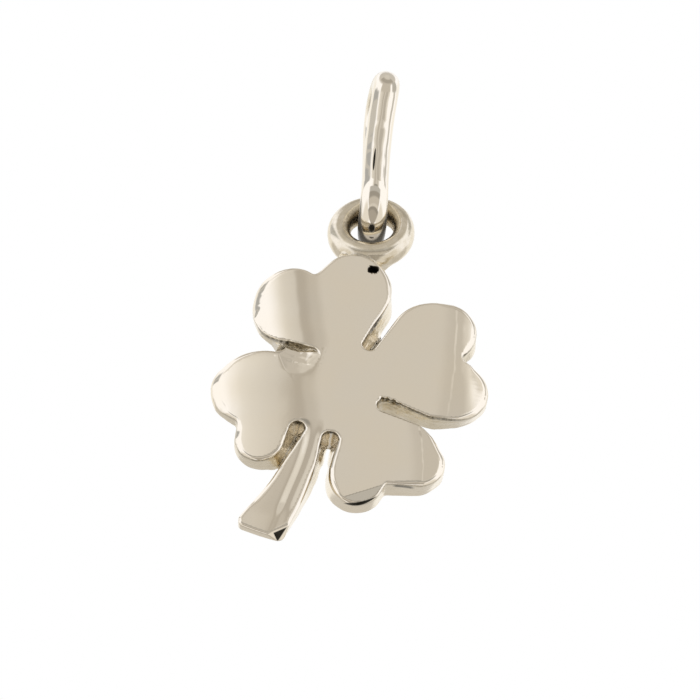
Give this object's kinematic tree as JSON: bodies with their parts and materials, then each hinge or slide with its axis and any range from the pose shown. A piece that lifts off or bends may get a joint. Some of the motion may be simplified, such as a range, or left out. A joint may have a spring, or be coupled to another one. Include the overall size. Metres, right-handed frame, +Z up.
{
  "type": "clover pendant",
  "caption": "Flat four-leaf clover charm with a curved stem, a soldered round eyelet and an oval bail of round wire to hang on a chain.",
  "frame": {"origin": "inside of the bail's top, where the chain carries it", "axes": "+Z up as it hangs, the clover's polished front faces -Y, and +X is to the right as seen from the front"},
  "size_m": [0.0099, 0.0034, 0.0199],
  "materials": {
    "bail": "polished white gold, warm tint",
    "clover": "polished white gold front, satin edges, warm tint"
  },
  "bodies": {
    "bail": {"bail": "bail"},
    "clover": {"clover": "clover"}
  },
  "joints": [
    {"name": "clover_swing", "type": "hinge", "parent": "bail", "child": "clover", "pos_m": [0, 0, -0.00443], "axis": [0.9991, 0, 0.0419], "range_deg": [-105, 115]}
  ]
}
